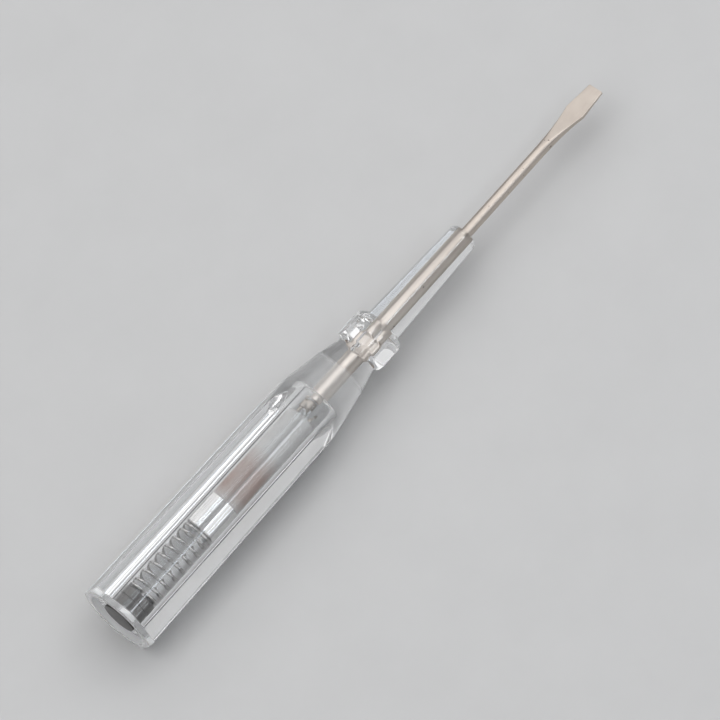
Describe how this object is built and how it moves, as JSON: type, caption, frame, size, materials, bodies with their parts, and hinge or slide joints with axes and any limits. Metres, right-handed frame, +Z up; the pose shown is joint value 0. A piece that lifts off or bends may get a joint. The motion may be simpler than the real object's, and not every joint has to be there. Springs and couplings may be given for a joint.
{
  "type": "voltage tester",
  "caption": "Slim screwdriver-shaped mains voltage tester with a clear hexagonal handle that shows its spring, ferrule and neon lamp, and a flat blade.",
  "frame": {"origin": "centre of the underside of the bounding box, below the middle of the tool's length", "axes": "+X along the tool's axis, from the rear rim to the blade tip; +Z up, with the handle lying on one flat of its hexagon"},
  "size_m": [0.14, 0.0174, 0.0154],
  "materials": {
    "clear_plastic": "clear, polished, with a matt rear rim",
    "nickel_steel": "warm grey nickel plate, finely brushed",
    "plug_metal": "dark bright plate",
    "spring_steel": "bright drawn wire",
    "bright_tin": "bright tin plate",
    "solder": "satin solder",
    "frosted_glass": "frosted, translucent",
    "resistor_coat": "pinkish brown lacquer",
    "bulb_glass": "clear glass",
    "electrode_nickel": "dull nickel",
    "lead_wire": "tinned wire"
  },
  "bodies": {
    "tester": {"handle": "clear_plastic", "blade_shaft": "nickel_steel"},
    "plug_unit": {"contact_plug": "plug_metal", "contact_spring": "spring_steel"},
    "lamp_unit": {"lamp_ferrule": "bright_tin", "ferrule_solder": "solder", "lamp_sleeve": "frosted_glass", "resistor_body": "resistor_coat", "resistor_cap_rear": "bright_tin", "resistor_cap_front": "bright_tin", "resistor_lead_rear": "bright_tin", "resistor_lead_front": "bright_tin", "lead_crimp": "bright_tin", "neon_bulb": "bulb_glass", "electrode_left": "electrode_nickel", "electrode_right": "electrode_nickel", "electrode_lead_left": "lead_wire", "electrode_lead_right": "lead_wire", "return_lead": "lead_wire", "front_contact": "bright_tin"}
  },
  "joints": [
    {"name": "plug_pull", "type": "slide", "parent": "tester", "child": "plug_unit", "axis": [-1, 0, 0], "range_m": [0, 0.03]},
    {"name": "lamp_slide", "type": "slide", "parent": "tester", "child": "lamp_unit", "axis": [-1, 0, 0], "range_m": [0, 0.003], "stiffness_N_per_m": 200, "springref_m": -0.004, "deforming": ["contact_spring"]}
  ]
}
